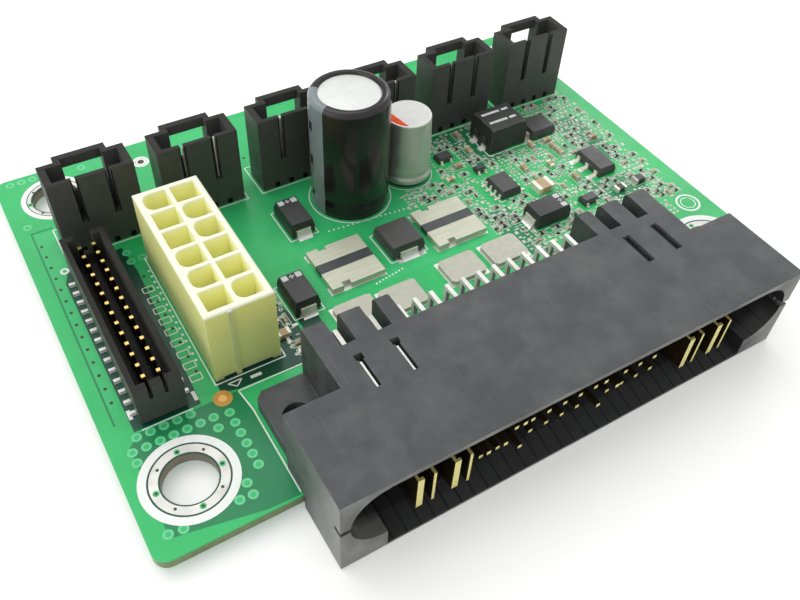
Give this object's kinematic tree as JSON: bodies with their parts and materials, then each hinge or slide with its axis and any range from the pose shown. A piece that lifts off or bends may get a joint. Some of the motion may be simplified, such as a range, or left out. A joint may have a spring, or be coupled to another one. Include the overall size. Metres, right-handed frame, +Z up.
{
  "type": "power distribution board",
  "caption": "Green circuit board with an edge-mounted power connector, an ivory header, a black box header, a row of shrouded wire headers, capacitors and surface-mounted parts.",
  "frame": {"origin": "under the middle of the whole part, at the ends of the soldered leads", "axes": "+X along the board to the right, +Y from the power connector to the back edge, +Z up from the component side"},
  "size_m": [0.103, 0.085, 0.0231],
  "materials": {
    "solder_mask": "green solder mask on glass laminate, satin",
    "connector_plastic": "dark grey moulded plastic, scuffed",
    "header_plastic": "black moulded plastic",
    "ivory_plastic": "ivory moulded nylon",
    "gold_plating": "gold plated contacts with tinned tails",
    "tin_plating": "tinned copper alloy",
    "can_aluminium": "drawn aluminium can",
    "sleeve_film": "black shrunk film with a pale stripe",
    "shunt_alloy": "dark resistance alloy",
    "package_plastic": "black moulding compound",
    "chip_ceramic": "fired ceramic"
  },
  "bodies": {
    "root": {"box_header_housing": "header_plastic", "box_header_pins": "gold_plating", "chip_bodies": "chip_ceramic", "chip_ends": "tin_plating", "circuit_board": "solder_mask", "diode_body": "package_plastic", "diode_tabs": "tin_plating", "driver_body": "package_plastic", "driver_leads": "tin_plating", "flat_diode_body": "package_plastic", "flat_diode_tabs": "tin_plating", "large_capacitor_can": "can_aluminium", "large_capacitor_leads": "tin_plating", "large_capacitor_sleeve": "sleeve_film", "main_header_housing": "ivory_plastic", "main_header_pins": "tin_plating", "power_connector_housing": "connector_plastic", "power_contacts": "gold_plating", "power_switch_1": "can_aluminium", "power_switch_2": "can_aluminium", "power_switch_3": "can_aluminium", "power_switch_4": "can_aluminium", "relay_body": "package_plastic", "relay_leads": "tin_plating", "shunt_plates_1": "tin_plating", "shunt_plates_2": "tin_plating", "shunt_strip_1": "shunt_alloy", "shunt_strip_2": "shunt_alloy", "signal_pins": "gold_plating", "small_capacitor_can": "can_aluminium", "small_capacitor_leads": "tin_plating", "small_package_bodies": "package_plastic", "small_package_leads": "tin_plating", "tantalum_body_1": "package_plastic", "tantalum_body_2": "package_plastic", "tantalum_body_3": "package_plastic", "tantalum_tabs_1": "tin_plating", "tantalum_tabs_2": "tin_plating", "tantalum_tabs_3": "tin_plating", "transistor_body": "package_plastic", "transistor_leads": "tin_plating", "wire_header_housing_1": "header_plastic", "wire_header_housing_2": "header_plastic", "wire_header_housing_3": "header_plastic", "wire_header_housing_4": "header_plastic", "wire_header_housing_5": "header_plastic", "wire_header_housing_6": "header_plastic", "wire_header_pins_1": "tin_plating", "wire_header_pins_2": "tin_plating", "wire_header_pins_3": "tin_plating", "wire_header_pins_4": "tin_plating", "wire_header_pins_5": "tin_plating", "wire_header_pins_6": "tin_plating"}
  },
  "joints": []
}
